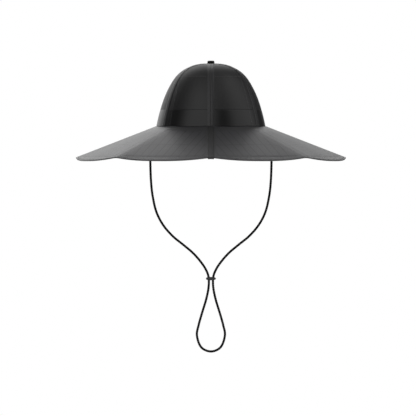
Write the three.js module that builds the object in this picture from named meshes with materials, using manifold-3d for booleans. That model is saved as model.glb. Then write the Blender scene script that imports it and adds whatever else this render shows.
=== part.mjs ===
// A sewn sun hat with solar sheets on its wide brim, and its chin cord drawn to a loop below it.
// Millimetres, +Z up, and the wearer faces -Y. The origin is the middle of the head opening, on
// the seam between crown and brim. Angles run round the hat from the front towards +X.

import * as THREE from "three";
import { mergeVertices } from "three/addons/utils/BufferGeometryUtils.js";
import Module from "manifold-3d";

// Thicknesses, and the gap that neighbouring pieces keep
const GAP = 0.3;
const CLOTH = 1.6;
const TAPE = 1.0;
const SHEET = 0.8;

// Crown: its outline from the front, and how much longer it is from front to back
const CROWN_PANELS = 6;
const CROWN_LONGER = 1.14;
const CROWN_TOP_HOLE = 2;
const BAND_HEIGHT = 27.2;
const CROWN_SECTIONS = [
  { height: -4, halfWidth: 90.9 },
  { height: 0, halfWidth: 90 },
  { height: 15, halfWidth: 86.7 },
  { height: 30, halfWidth: 82.6 },
  { height: 45, halfWidth: 77.6 },
  { height: 60, halfWidth: 71.1 },
  { height: 75, halfWidth: 62.6 },
  { height: 85, halfWidth: 54.5 },
  { height: 93, halfWidth: 44.4 },
  { height: 99, halfWidth: 31.2 },
  { height: 102, halfWidth: 17.3 },
  { height: 103, halfWidth: 0 },
];

// Brim: a cone of straight seams, with the cloth hanging a little lower between them
const BRIM_SECTIONS = 8;
const OPENING_REACH = 90;
const RIM_REACH = 223;
const BRIM_SLOPE = 0.3895;
const SAG_AT_CROWN = 1.0;
const SAG_AT_RIM = 5.0;
const RIDGE_SOFTNESS = 10.7;
const RIM_EDGE_WIDTH = 2.0;
const RIM_EDGE_PROUD = 0.3;
const RIM_EDGE_ROUND = 0.6;
const RIM_EDGE_STEPS = 12;

// Solar sheets: how far from the middle they start and end, and their distance from a seam
const SHEET_START = 105.3;
const SHEET_END = 207.9;
const SHEET_END_BOW = 6.5;
const SHEET_FROM_SEAM = 9;
const SHEET_CUTS = { out: 3, across: 8 };
const BRIM_CUTS = { out: 4, across: 10 };

// Tapes over the crown seams, and the tape down the front of the brim
const TAPE_WIDTH = 11.4;
const BRIM_TAPE_WIDTH = 11;
const BRIM_TAPE_TOP_WIDTH = 13.2;
const BRIM_TAPE_TOP_LENGTH = 3;
const BRIM_TAPE_SHOULDER = 0.5;
const BRIM_TAPE_CLIMB_START = 5;
const BRIM_TAPE_CLIMB_END = 2.5;
const BRIM_TAPE_RETURN = 7;

// Button on the top of the crown, where the seam tapes end against it
const BUTTON_RADIUS = 5.7;
const BUTTON_HEIGHT = 4.5;

// Chin cord: half of its route, from a side tab to the bottom of the loop, seen from the front
const CORD_DIAMETER = 3.6;
const CORD_STEPS = 80;
const CORD_SIDES = 8;
const CORD_HALF_ROUTE = [
  { x: 100.3, z: -22 },
  { x: 100.2, z: -45 },
  { x: 98.9, z: -90 },
  { x: 96.0, z: -116.3 },
  { x: 89.6, z: -142.7 },
  { x: 78.4, z: -164 },
  { x: 62.4, z: -182.3 },
  { x: 46.2, z: -195.5 },
  { x: 30.5, z: -208.7 },
  { x: 18.5, z: -221.9 },
  { x: 9.3, z: -235.1 },
  { x: 4.6, z: -246 },
  { x: 3.4, z: -255 },
  { x: 4.1, z: -268.1 },
  { x: 8.1, z: -287 },
  { x: 14.4, z: -307.7 },
  { x: 20.4, z: -329 },
  { x: 23.1, z: -345 },
  { x: 15.5, z: -365.5 },
];
const CORD_LOOP_BOTTOM = -372;

// Tabs that hold the cord's ends under the brim, and the slider on both strands
const TAB_X = 100.3;
const TAB_THICKNESS = 5;
const TAB_WIDTH = 10;
const TAB_BELOW_BRIM = 0.45;
const TAB_CORNER = 1.4;
const SLIDER_Z = -251.8;
const SLIDER_RADIUS = 7.9;
const SLIDER_FLAT_RADIUS = 4.3;
const SLIDER_HEIGHT = 5.2;
const SLIDER_EDGE = 2.0;
const SLIDER_FLATNESS = 0.7;
const SLIDER_HOLE_X = 3.65;
const SLIDER_HOLE_RADIUS = 2.3;

// Colours, roughness and metalness
const finish = (color, roughness, metalness = 0) =>
  new THREE.MeshStandardMaterial({ color, roughness, metalness });
const FINISHES = {
  crownCloth: finish(0x2f2f30, 0.8),
  bandCloth: finish(0x262627, 0.45),
  seamTape: finish(0x343435, 0.7),
  button: finish(0x141414, 0.5),
  brimCloth: finish(0x4a4b4d, 0.7),
  solarSheet: finish(0x46484b, 0.4),
  rimEdge: finish(0x1c1c1d, 0.8),
  brimTape: finish(0x2b2b2c, 0.6),
  cord: finish(0x101010, 0.8),
  slider: finish(0x2e2e2e, 0.5),
};

const lerp = THREE.MathUtils.lerp;
const FULL_TURN = 2 * Math.PI;
const CROWN_SECTOR = FULL_TURN / CROWN_PANELS;
const BRIM_SECTOR = FULL_TURN / BRIM_SECTIONS;
const FRONT_BACK_EXTRA = OPENING_REACH * (CROWN_LONGER - 1);

// Halves a range until it closes on where a rising function reaches a value.
function solve(rising, value, low, high) {
  for (let i = 0; i < 40; i++) {
    const middle = (low + high) / 2;
    if (rising(middle) < value) low = middle;
    else high = middle;
  }
  return (low + high) / 2;
}

// A point moved off a surface. A positive lift goes where first-by-second points: out of the hat.
function lifted(surface, first, second, lift) {
  const step = 1e-3;
  const alongFirst = surface(first + step, second).sub(surface(first - step, second));
  const alongSecond = surface(first, second + step).sub(surface(first, second - step));
  const outward = alongFirst.cross(alongSecond).normalize();
  return surface(first, second).addScaledVector(outward, lift);
}

// A closed body from its corner points and its faces, each a list of three or four corners.
function closedBody(points, faces) {
  const geometry = new THREE.BufferGeometry().setFromPoints(points);
  geometry.setIndex(faces.flatMap(([a, b, c, d]) => (d === undefined ? [a, b, c] : [a, b, c, a, c, d])));
  return geometry;
}

// A wall: an outer and an inner grid of points, joined along their four edges.
function wall(columns, rows, outerPoint, innerPoint) {
  const points = [];
  const faces = [];
  const corner = (side, i, j) => (side * (rows + 1) + j) * (columns + 1) + i;
  for (const pointAt of [outerPoint, innerPoint])
    for (let j = 0; j <= rows; j++)
      for (let i = 0; i <= columns; i++) points.push(pointAt(i / columns, j / rows));
  for (let j = 0; j < rows; j++)
    for (let i = 0; i < columns; i++) {
      faces.push([corner(0, i, j), corner(0, i + 1, j), corner(0, i + 1, j + 1), corner(0, i, j + 1)]);
      faces.push([corner(1, i, j), corner(1, i, j + 1), corner(1, i + 1, j + 1), corner(1, i + 1, j)]);
    }
  for (let i = 0; i < columns; i++) {
    faces.push([corner(0, i, 0), corner(1, i, 0), corner(1, i + 1, 0), corner(0, i + 1, 0)]);
    faces.push([corner(0, i, rows), corner(0, i + 1, rows), corner(1, i + 1, rows), corner(1, i, rows)]);
  }
  for (let j = 0; j < rows; j++) {
    const last = columns;
    faces.push([corner(0, 0, j), corner(0, 0, j + 1), corner(1, 0, j + 1), corner(1, 0, j)]);
    faces.push([corner(0, last, j), corner(1, last, j), corner(1, last, j + 1), corner(0, last, j + 1)]);
  }
  return closedBody(points, faces);
}

// A ring: a closed section carried round a full turn.
function ring(steps, sectionSize, pointAt) {
  const points = [];
  const faces = [];
  const corner = (i, j) => (i % steps) * sectionSize + (j % sectionSize);
  for (let i = 0; i < steps; i++)
    for (let j = 0; j < sectionSize; j++) points.push(pointAt(i / steps, j));
  for (let i = 0; i < steps; i++)
    for (let j = 0; j < sectionSize; j++)
      faces.push([corner(i, j), corner(i + 1, j), corner(i + 1, j + 1), corner(i, j + 1)]);
  return closedBody(points, faces);
}

// The hanging depth of the brim's cloth: none on a seam, all of it midway, soft where it bends.
function brimSag(reach, angle) {
  const fromSeam = Math.abs(angle - BRIM_SECTOR * Math.round(angle / BRIM_SECTOR));
  const soft = RIDGE_SOFTNESS / reach;
  const share = (Math.hypot(fromSeam, soft) - soft) / (Math.hypot(BRIM_SECTOR / 2, soft) - soft);
  const depth = lerp(SAG_AT_CROWN, SAG_AT_RIM, (reach - OPENING_REACH) / (RIM_REACH - OPENING_REACH));
  return depth * (1 - (1 - share) ** 2);
}

const brimHeight = (reach, angle) => -BRIM_SLOPE * (reach - OPENING_REACH) - brimSag(reach, angle);

// The brim's upper face. Reach is the distance from the middle, measured towards either side.
function brimSurface(reach, angle) {
  return new THREE.Vector3(
    reach * Math.sin(angle),
    -(reach + FRONT_BACK_EXTRA) * Math.cos(angle),
    brimHeight(reach, angle),
  );
}

const onBrim = (reach, angle, lift) => lifted(brimSurface, reach, angle, lift);

const crownProfile = new THREE.SplineCurve(
  CROWN_SECTIONS.map(({ halfWidth, height }) => new THREE.Vector2(halfWidth, height)),
);
crownProfile.arcLengthDivisions = 400;

// The crown's outer face. Climb runs along its outline, from 0 under the brim seam to 1 on top.
function crownSurface(angle, climb) {
  const { x: halfWidth, y: height } = crownProfile.getPointAt(THREE.MathUtils.clamp(climb, 0, 1));
  return new THREE.Vector3(
    halfWidth * Math.sin(angle),
    -CROWN_LONGER * halfWidth * Math.cos(angle),
    height,
  );
}

const onCrown = (angle, climb, lift) => lifted(crownSurface, angle, climb, lift);

// Millimetres round the crown for each radian, at an angle and a climb.
function crownGirth(angle, climb) {
  const halfWidth = crownProfile.getPointAt(climb).x;
  return halfWidth * Math.hypot(Math.cos(angle), CROWN_LONGER * Math.sin(angle));
}

const BAND_CLIMB = solve((climb) => crownProfile.getPointAt(climb).y, BAND_HEIGHT, 0, 0.9);
const TOP_CLIMB = solve((climb) => -crownProfile.getPointAt(climb).x, -CROWN_TOP_HOLE, 0.5, 1);
const TAPE_TOP_CLIMB = solve((climb) => -crownProfile.getPointAt(climb).x, -BUTTON_RADIUS - GAP, 0.5, 1);
const CLIMB_PER_MM = 1 / crownProfile.getLength();

// Where a face of the crown, lifted off its outline, stands on the brim with a gap.
function footClimb(angle, lift) {
  const heightOverBrim = (climb) => {
    const point = onCrown(angle, climb, lift);
    const reach = Math.hypot(point.x, point.y / CROWN_LONGER);
    return point.z - brimHeight(reach, angle);
  };
  return solve(heightOverBrim, GAP, 0.002, 0.1);
}

const BAND_ROWS = 2;
const UPPER_ROWS = 11;
const PANEL_COLUMNS = 8;

// The climb of a row: band rows first, then the rows of the upper panels.
function rowClimb(row, angle, lift) {
  if (row <= BAND_ROWS) return lerp(footClimb(angle, lift), BAND_CLIMB, row / BAND_ROWS);
  return lerp(BAND_CLIMB, TOP_CLIMB, (row - BAND_ROWS) / UPPER_ROWS);
}

// One gore of the crown between two seams: firstRow to lastRow are rows of rowClimb.
function crownPanel(panel, firstRow, lastRow) {
  const face = (lift) => (across, up) => {
    const row = lerp(firstRow, lastRow, up);
    const seamAngle = CROWN_SECTOR * (panel + across);
    let climb = rowClimb(row, seamAngle, lift);
    if (firstRow > 0 && up === 0) climb += GAP * CLIMB_PER_MM;
    const fromSeam = GAP / 2 / crownGirth(seamAngle, climb);
    const angle = lerp(CROWN_SECTOR * panel + fromSeam, CROWN_SECTOR * (panel + 1) - fromSeam, across);
    return onCrown(angle, climb, lift);
  };
  return wall(PANEL_COLUMNS, lastRow - firstRow, face(0), face(-CLOTH));
}

// A tape over a crown seam. It runs from the brim to the button, where the tapes meet in a star.
function crownTape(seam) {
  const seamAngle = CROWN_SECTOR * seam;
  const face = (lift) => (across, up) => {
    const climb = Math.min(rowClimb(up * (BAND_ROWS + UPPER_ROWS), seamAngle, lift), TAPE_TOP_CLIMB);
    const girth = crownGirth(seamAngle, climb);
    const halfWidth = Math.min(TAPE_WIDTH / 2, (girth * CROWN_SECTOR) / 2 - GAP);
    return onCrown(seamAngle + ((2 * across - 1) * halfWidth) / girth, climb, lift);
  };
  return wall(2, BAND_ROWS + UPPER_ROWS, face(GAP + TAPE), face(GAP));
}

// One eighth of the brim's cloth. Its inner edge lies under the foot of the crown.
function brimPanel(panel) {
  const innerReach = OPENING_REACH - CLOTH;
  const outerReach = RIM_REACH - RIM_EDGE_WIDTH;
  const face = (lift) => (out, across) => {
    const reach = lerp(innerReach, outerReach, out);
    const fromSeam = GAP / 2 / reach;
    const angle = lerp(BRIM_SECTOR * panel + fromSeam, BRIM_SECTOR * (panel + 1) - fromSeam, across);
    return onBrim(reach, angle, lift);
  };
  return wall(BRIM_CUTS.out, BRIM_CUTS.across, face(0), face(-CLOTH));
}

// A solar sheet on one eighth of the brim, with a straight inner edge and a slightly bowed outer one.
function solarSheet(panel) {
  const middle = BRIM_SECTOR * (panel + 0.5);
  const halfSpread = (reach) => BRIM_SECTOR / 2 - SHEET_FROM_SEAM / reach;
  const face = (lift) => (out, across) => {
    const side = 2 * across - 1;
    const start = SHEET_START / Math.cos(side * halfSpread(SHEET_START));
    const end = SHEET_END + SHEET_END_BOW * side ** 2;
    const reach = lerp(start, end, out);
    return onBrim(reach, middle + side * halfSpread(reach), lift);
  };
  return wall(SHEET_CUTS.out, SHEET_CUTS.across, face(GAP + SHEET), face(GAP));
}

// The edge tape round the rim, a little thicker than the cloth.
function rimEdge() {
  const inner = RIM_REACH - RIM_EDGE_WIDTH + GAP;
  const outer = RIM_REACH - RIM_EDGE_ROUND;
  const section = [
    { reach: inner, lift: RIM_EDGE_PROUD },
    { reach: inner, lift: -CLOTH - RIM_EDGE_PROUD },
    { reach: outer, lift: -CLOTH - RIM_EDGE_PROUD },
    { reach: RIM_REACH, lift: -CLOTH },
    { reach: RIM_REACH, lift: 0 },
    { reach: outer, lift: RIM_EDGE_PROUD },
  ];
  return ring(BRIM_SECTIONS * RIM_EDGE_STEPS, section.length, (turn, j) =>
    onBrim(section[j].reach, turn * FULL_TURN, section[j].lift),
  );
}

// The tape down the front of the brim: over the top, round the rim's edge and back underneath.
function brimTape() {
  const start = OPENING_REACH + 2 * GAP + TAPE;
  const topEnd = start + BRIM_TAPE_TOP_LENGTH;
  const over = GAP + RIM_EDGE_PROUD;
  const under = -CLOTH - RIM_EDGE_PROUD - GAP;
  const narrow = BRIM_TAPE_WIDTH;
  const route = [
    { reach: start, inner: GAP, side: 1, wide: BRIM_TAPE_TOP_WIDTH },
    { reach: topEnd, inner: GAP, side: 1, wide: BRIM_TAPE_TOP_WIDTH },
    { reach: topEnd + BRIM_TAPE_SHOULDER, inner: GAP, side: 1, wide: narrow },
    { reach: lerp(start, RIM_REACH, 1 / 3), inner: GAP, side: 1, wide: narrow },
    { reach: lerp(start, RIM_REACH, 2 / 3), inner: GAP, side: 1, wide: narrow },
    { reach: RIM_REACH - BRIM_TAPE_CLIMB_START, inner: GAP, side: 1, wide: narrow },
    { reach: RIM_REACH - BRIM_TAPE_CLIMB_END, inner: over, side: 1, wide: narrow },
    { reach: RIM_REACH + GAP, inner: over, side: 1, wide: narrow, pastRim: true },
    { reach: RIM_REACH + GAP, inner: under, side: -1, wide: narrow, pastRim: true },
    { reach: RIM_REACH - BRIM_TAPE_CLIMB_END, inner: under, side: -1, wide: narrow },
    { reach: RIM_REACH - BRIM_TAPE_RETURN, inner: under, side: -1, wide: narrow },
  ];
  const face = (thick) => (along, across) => {
    const station = route[Math.round(along * (route.length - 1))];
    const reach = station.reach + (station.pastRim ? thick : 0);
    const angle = ((across - 0.5) * station.wide) / (reach + FRONT_BACK_EXTRA);
    return onBrim(reach, angle, station.inner + station.side * thick);
  };
  return wall(route.length - 1, 4, face(TAPE), face(0));
}

// The covered button: a low drum, widest below its middle, with a rounded top.
function button() {
  const profile = [
    [0, 0],
    [0.94 * BUTTON_RADIUS, 0],
    [BUTTON_RADIUS, 0.3 * BUTTON_HEIGHT],
    [0.98 * BUTTON_RADIUS, 0.62 * BUTTON_HEIGHT],
    [0.86 * BUTTON_RADIUS, 0.88 * BUTTON_HEIGHT],
    [0.6 * BUTTON_RADIUS, BUTTON_HEIGHT],
    [0, BUTTON_HEIGHT],
  ].map(([radius, height]) => new THREE.Vector2(radius, height));
  return new THREE.LatheGeometry(profile, 24).rotateX(Math.PI / 2);
}

// A plain tab of folded tape under the brim, its top cut to the brim's slope.
function cordTab(side) {
  const underside = (x) =>
    brimHeight(x, FULL_TURN / 4) - (CLOTH + TAB_BELOW_BRIM) / Math.cos(Math.atan(BRIM_SLOPE));
  const near = TAB_X - TAB_THICKNESS / 2;
  const far = TAB_X + TAB_THICKNESS / 2;
  const bottom = CORD_HALF_ROUTE[0].z + GAP;
  const outline = [
    [near, underside(near)],
    [near, bottom + TAB_CORNER],
    [near + TAB_CORNER, bottom],
    [far - TAB_CORNER, bottom],
    [far, bottom + TAB_CORNER],
    [far, underside(far)],
  ].map(([x, z]) => new THREE.Vector2(side * x, z));
  const geometry = new THREE.ExtrudeGeometry(new THREE.Shape(outline), {
    depth: TAB_WIDTH,
    bevelEnabled: false,
  });
  return geometry.rotateX(Math.PI / 2).translate(0, TAB_WIDTH / 2, 0);
}

// The cord: one strand from the left tab, down through the slider, round the loop and back up.
function chinCord() {
  const right = CORD_HALF_ROUTE.map(({ x, z }) => new THREE.Vector3(x, 0, z));
  const left = CORD_HALF_ROUTE.map(({ x, z }) => new THREE.Vector3(-x, 0, z)).reverse();
  const route = [...right, new THREE.Vector3(0, 0, CORD_LOOP_BOTTOM), ...left];
  const section = Array.from({ length: CORD_SIDES }, (_, i) => {
    const angle = (FULL_TURN * i) / CORD_SIDES;
    return new THREE.Vector2(Math.cos(angle), Math.sin(angle)).multiplyScalar(CORD_DIAMETER / 2);
  });
  return new THREE.ExtrudeGeometry(new THREE.Shape(section), {
    steps: CORD_STEPS,
    extrudePath: new THREE.CatmullRomCurve3(route),
  });
}

const wasm = await Module();
wasm.setup();

// A geometry as a solid that can be cut.
function solidOf(geometry) {
  const bare = geometry.clone();
  bare.deleteAttribute("normal");
  bare.deleteAttribute("uv");
  const merged = mergeVertices(bare, 1e-3);
  return new wasm.Manifold(
    new wasm.Mesh({
      numProp: 3,
      vertProperties: merged.attributes.position.array,
      triVerts: new Uint32Array(merged.index.array),
    }),
  );
}

// The slider: a flattened disc that thins to its edge, drilled for the two strands.
function slider() {
  const half = SLIDER_HEIGHT / 2;
  const profile = [
    [0, -half],
    [SLIDER_FLAT_RADIUS, -half],
    [SLIDER_RADIUS, -SLIDER_EDGE / 2],
    [SLIDER_RADIUS, SLIDER_EDGE / 2],
    [SLIDER_FLAT_RADIUS, half],
    [0, half],
  ].map(([radius, height]) => new THREE.Vector2(radius, height));
  const disc = new THREE.LatheGeometry(profile, 32).rotateX(Math.PI / 2).scale(1, SLIDER_FLATNESS, 1);
  const drill = (x) =>
    new THREE.CylinderGeometry(SLIDER_HOLE_RADIUS, SLIDER_HOLE_RADIUS, 2 * SLIDER_HEIGHT, 20)
      .rotateX(Math.PI / 2)
      .translate(x, 0, 0);
  const drilled = solidOf(disc)
    .subtract(solidOf(drill(SLIDER_HOLE_X)))
    .subtract(solidOf(drill(-SLIDER_HOLE_X)))
    .getMesh();
  const geometry = new THREE.BufferGeometry();
  geometry.setAttribute("position", new THREE.BufferAttribute(drilled.vertProperties, 3));
  geometry.setIndex(new THREE.BufferAttribute(drilled.triVerts, 1));
  return geometry;
}

function piece(name, geometry, material, group) {
  const mesh = new THREE.Mesh(geometry, material);
  mesh.name = name;
  group.add(mesh);
  return mesh;
}

const hat = new THREE.Group();
const crown = new THREE.Group();
const brim = new THREE.Group();
const chinStrap = new THREE.Group();
hat.add(crown, brim, chinStrap);

const TOP_ROW = BAND_ROWS + UPPER_ROWS;
for (let i = 0; i < CROWN_PANELS; i++) {
  piece(`crown_panel_${i + 1}`, crownPanel(i, BAND_ROWS, TOP_ROW), FINISHES.crownCloth, crown);
  piece(`crown_band_${i + 1}`, crownPanel(i, 0, BAND_ROWS), FINISHES.bandCloth, crown);
  piece(`crown_tape_${i + 1}`, crownTape(i), FINISHES.seamTape, crown);
}
const crownTop = CROWN_SECTIONS.at(-1).height;
piece("crown_button", button(), FINISHES.button, crown).position.z = crownTop + GAP;

for (let i = 0; i < BRIM_SECTIONS; i++) {
  piece(`brim_panel_${i + 1}`, brimPanel(i), FINISHES.brimCloth, brim);
  piece(`solar_sheet_${i + 1}`, solarSheet(i), FINISHES.solarSheet, brim);
}
piece("rim_edge", rimEdge(), FINISHES.rimEdge, brim);
piece("brim_tape", brimTape(), FINISHES.brimTape, brim);

piece("cord_tab_right", cordTab(1), FINISHES.brimTape, chinStrap);
piece("cord_tab_left", cordTab(-1), FINISHES.brimTape, chinStrap);
piece("chin_cord", chinCord(), FINISHES.cord, chinStrap);
piece("cord_slider", slider(), FINISHES.slider, chinStrap).position.z = SLIDER_Z;

export default hat;
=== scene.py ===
import math

import bpy
import numpy as np
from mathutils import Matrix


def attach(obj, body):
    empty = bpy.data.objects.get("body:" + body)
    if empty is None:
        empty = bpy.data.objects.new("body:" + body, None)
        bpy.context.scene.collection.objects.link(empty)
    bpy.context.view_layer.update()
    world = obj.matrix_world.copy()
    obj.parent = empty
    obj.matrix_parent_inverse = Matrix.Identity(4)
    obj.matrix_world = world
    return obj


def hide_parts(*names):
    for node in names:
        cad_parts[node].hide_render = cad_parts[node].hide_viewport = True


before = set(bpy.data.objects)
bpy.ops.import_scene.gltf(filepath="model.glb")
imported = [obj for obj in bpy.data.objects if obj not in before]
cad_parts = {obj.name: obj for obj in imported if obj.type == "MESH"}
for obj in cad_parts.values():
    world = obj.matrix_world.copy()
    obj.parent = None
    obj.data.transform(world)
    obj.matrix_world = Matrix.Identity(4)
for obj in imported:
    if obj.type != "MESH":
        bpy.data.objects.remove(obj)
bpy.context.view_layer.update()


# A millimetre in metres, and the degrees past which an edge of a piece stays sharp.
MM = 0.001
SHARP_ANGLE = 50


# The camera. It looks level and straight at the hat's front, and sees no perspective. Its picture
# is square, and its middle is given as x and z.
PICTURE_PIXELS = 416
PIXEL_IN_MM = 1.65
PICTURE_MIDDLE = (-4.8 * MM, -135.3 * MM)
CAMERA_DISTANCE = 2.0

camera_lens = bpy.data.cameras.new("camera")
camera_lens.type = "ORTHO"
camera_lens.ortho_scale = PICTURE_PIXELS * PIXEL_IN_MM * MM
camera = bpy.data.objects.new("camera", camera_lens)
camera.location = (PICTURE_MIDDLE[0], -CAMERA_DISTANCE, PICTURE_MIDDLE[1])
camera.rotation_euler = (math.radians(90), 0, 0)
bpy.context.scene.collection.objects.link(camera)
bpy.context.scene.camera = camera


# The chin cord: a thin braid of black polyester, one strand from the tab under one side of the
# brim, down through the slider, round the loop and back up to the other tab. Its ends are sewn
# into the tabs. The route is half of it, seen from the front, as x and z in millimetres.
CORD_DIAMETER = 3.6 * MM
CORD_SEWN_IN = 3.5 * MM
CORD_HALF_ROUTE = [
    (100.3, -22), (100.2, -45), (98.9, -90), (96.0, -116.3), (89.6, -142.7), (78.4, -164),
    (62.4, -182.3), (46.2, -195.5), (30.5, -208.7), (18.5, -221.9), (9.3, -235.1), (4.6, -246),
    (3.4, -255), (4.1, -268.1), (8.1, -287), (14.4, -307.7), (20.4, -329), (23.1, -345),
    (15.5, -365.5),
]
CORD_LOOP_BOTTOM = -372
CORD_SIDES = 30
CORD_RING_SPACING = 0.54 * MM
BRAID_STRANDS_ROUND = 6
BRAID_PITCH = 3.2 * MM
BRAID_DEPTH = 0.12


def linear(hex_colour):
    """The linear RGBA of an sRGB colour written as six hex digits."""
    parts = [int(hex_colour[i : i + 2], 16) / 255 for i in (0, 2, 4)]
    return [c / 12.92 if c <= 0.04045 else ((c + 0.055) / 1.055) ** 2.4 for c in parts] + [1.0]


def add(tree, kind, links=None, **settings):
    """Adds a node with its settings. links gives its inputs, by place or name: a value, or the
    output that feeds it. Returns the node's outputs."""
    made = tree.nodes.new(kind)
    for name, value in settings.items():
        setattr(made, name, value)
    for place, value in (links or {}).items():
        if isinstance(value, bpy.types.NodeSocket):
            tree.links.new(value, made.inputs[place])
        else:
            made.inputs[place].default_value = value
    return made.outputs


def new_material(name):
    """An empty node material, and its tree."""
    material = bpy.data.materials.new(name)
    material.use_nodes = True
    material.node_tree.nodes.clear()
    return material, material.node_tree


def end_material(material, pattern, darkest, lightest, roughness, ior=1.5, relief=None):
    """Ends a material with one surface, whose tone follows a pattern between two colours. relief
    gives the height its bumps follow, how strong they are and how deep."""
    tree = material.node_tree
    tone = add(tree, "ShaderNodeMix", {0: pattern, 6: linear(darkest), 7: linear(lightest)},
               data_type="RGBA")[2]
    look = {"Base Color": tone, "Roughness": roughness, "IOR": ior}
    if relief:
        bump = dict(zip(("Height", "Strength", "Distance"), relief))
        look["Normal"] = add(tree, "ShaderNodeBump", bump)[0]
    shader = add(tree, "ShaderNodeBsdfPrincipled", look)[0]
    add(tree, "ShaderNodeOutputMaterial", {0: shader})
    return material


def braided_polyester():
    """Black braided cord: each strand is a bundle of fine fibres, which catch light along it."""
    material, tree = new_material("braided polyester")
    fibre_spacing = 0.25 * MM
    weave = add(tree, "ShaderNodeUVMap", uv_map="weave")[0]
    stretched = add(tree, "ShaderNodeMapping", {0: weave, "Scale": (0.3, 1, 1)})[0]
    fibres = add(tree, "ShaderNodeTexNoise", {"Vector": stretched, "Scale": 1 / fibre_spacing})[0]
    return end_material(material, fibres, "060607", "0d0d0e", roughness=0.6, ior=1.36,
                        relief=(fibres, 0.3, 0.1 * MM))


def run_along(points):
    """How far along a line of points each of them is."""
    return np.concatenate([[0], np.cumsum(np.linalg.norm(np.diff(points, axis=0), axis=1))])


def between(first, last, start, end, t):
    """The mix of two points that is the first at t = start and the last at t = end."""
    return (first * (end - t) + last * (t - start)) / (end - start)


def smooth_line(points, evenness, spacing):
    """A curve through the points, as new points spaced evenly along it. It is a Catmull-Rom curve,
    whose knots lie each span's length to the power evenness apart."""
    p = np.array(points, float)
    p = np.vstack([2 * p[0] - p[1], p, 2 * p[-1] - p[-2]])
    spans = []
    for four in zip(p, p[1:], p[2:], p[3:]):
        gaps = [np.linalg.norm(q - r) ** evenness for q, r in zip(four[1:], four)]
        knots = np.concatenate([[0], np.cumsum(gaps)])
        t = np.linspace(knots[1], knots[2], 60)[:, None]
        near = [between(four[k], four[k + 1], knots[k], knots[k + 1], t) for k in (0, 1, 2)]
        wide = [between(near[k], near[k + 1], knots[k], knots[k + 2], t) for k in (0, 1)]
        spans.append(between(wide[0], wide[1], knots[1], knots[2], t))
    fine = np.vstack(spans)
    run = run_along(fine)
    even = np.linspace(0, run[-1], round(run[-1] / spacing) + 1)
    return np.column_stack([np.interp(even, run, axis) for axis in fine.T])


def mesh_object(name, points, faces, material, weave=None, period=None, edges=(), sharp_over=None):
    """A mesh object with smooth faces. weave gives each point's place in the cloth, in metres, and
    period is how far its second number runs before it closes on itself. Edges that turn by more
    than sharp_over degrees stay sharp."""
    mesh = bpy.data.meshes.new(name)
    mesh.from_pydata(np.asarray(points).tolist(), edges, faces)
    if weave is not None:
        place = np.asarray(weave)[[corner.vertex_index for corner in mesh.loops]]
        if period:
            starts = [face.loop_start for face in mesh.polygons]
            totals = [face.loop_total for face in mesh.polygons]
            furthest = np.repeat(np.maximum.reduceat(place[:, 1], starts), totals)
            place[:, 1] += period * (furthest - place[:, 1] > period / 2)
        mesh.uv_layers.new(name="weave").uv.foreach_set("vector", place.ravel())
    if material:
        mesh.materials.append(material)
    mesh.shade_smooth()
    if sharp_over:
        mesh.set_sharp_from_angle(angle=math.radians(sharp_over))
    made = bpy.data.objects.new(name, mesh)
    bpy.context.scene.collection.objects.link(made)
    return made


def tube_faces(rings, sides):
    """Four-sided faces between rings of points, and one face over each end."""
    i, j = np.meshgrid(np.arange(rings - 1) * sides, np.arange(sides), indexing="ij")
    k = (j + 1) % sides
    walls = np.stack([i + j, i + k, i + sides + k, i + sides + j], axis=-1).reshape(-1, 4)
    last = (rings - 1) * sides
    return walls.tolist() + [list(range(sides - 1, -1, -1)), list(range(last, last + sides))]


def belongs(piece, slot, *nodes):
    """Fastens a piece to the hat's one body, and hides the nodes it stands for. slot is not used."""
    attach(piece, "root")
    if nodes:
        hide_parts(*nodes)


right_side = [(x * MM, 0, z * MM) for x, z in CORD_HALF_ROUTE]
left_side = [(-x, y, z) for x, y, z in reversed(right_side)]
whole_route = right_side + [(0, 0, CORD_LOOP_BOTTOM * MM)] + left_side
cord_line = smooth_line(whole_route, 0.5, CORD_RING_SPACING)
sewn_in = np.array([[0, 0, CORD_SEWN_IN]])
cord_line = np.vstack([cord_line[:1] + sewn_in, cord_line, cord_line[-1:] + sewn_in])
along_cord = run_along(cord_line)
heading = np.gradient(cord_line, axis=0)
heading /= np.linalg.norm(heading, axis=1)[:, None]
forward = np.array([0.0, 1.0, 0.0])
sideways = np.cross(forward, heading)
turn = np.linspace(0, 2 * math.pi, CORD_SIDES, endpoint=False)
crossings = np.cos(2 * math.pi * along_cord / BRAID_PITCH)[:, None]
strands = np.cos(BRAID_STRANDS_ROUND * turn)[None, :] * crossings
radius = CORD_DIAMETER / 2 * (1 + BRAID_DEPTH * (1 + strands) / 2)
cord_points = (
    cord_line[:, None, :]
    + (radius * np.cos(turn))[:, :, None] * sideways[:, None, :]
    + (radius * np.sin(turn))[:, :, None] * forward
)
cord_weave = np.stack(np.broadcast_arrays(along_cord[:, None], turn * CORD_DIAMETER / 2), axis=-1)
chin_cord = mesh_object("chin_cord_braid", cord_points.reshape(-1, 3),
                        tube_faces(len(cord_line), CORD_SIDES), braided_polyester(),
                        cord_weave.reshape(-1, 2), period=math.pi * CORD_DIAMETER)
belongs(chin_cord, "cord", "chin_cord")


# The slider: a small flattened disc of dark moulded rubber that thins to a rounded edge. The two
# strands of the cord run through its two holes, and it stays where it is pushed.
SLIDER_MIDDLE_Z = -251.8 * MM
SLIDER_HALF_PROFILE = [(0, 2.75), (3.6, 2.75), (5.2, 2.55), (6.9, 1.95), (8.0, 1.05), (8.3, 0)]
SLIDER_FLATNESS = 0.7
SLIDER_SIDES = 64
SLIDER_HOLE_X = 3.65 * MM
SLIDER_HOLE_RADIUS = 2.2 * MM
SLIDER_HOLE_REACH = 4 * MM
SLIDER_HOLE_SIDES = 32
SLIDER_HOLE_ROUNDING = 0.25 * MM


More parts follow.
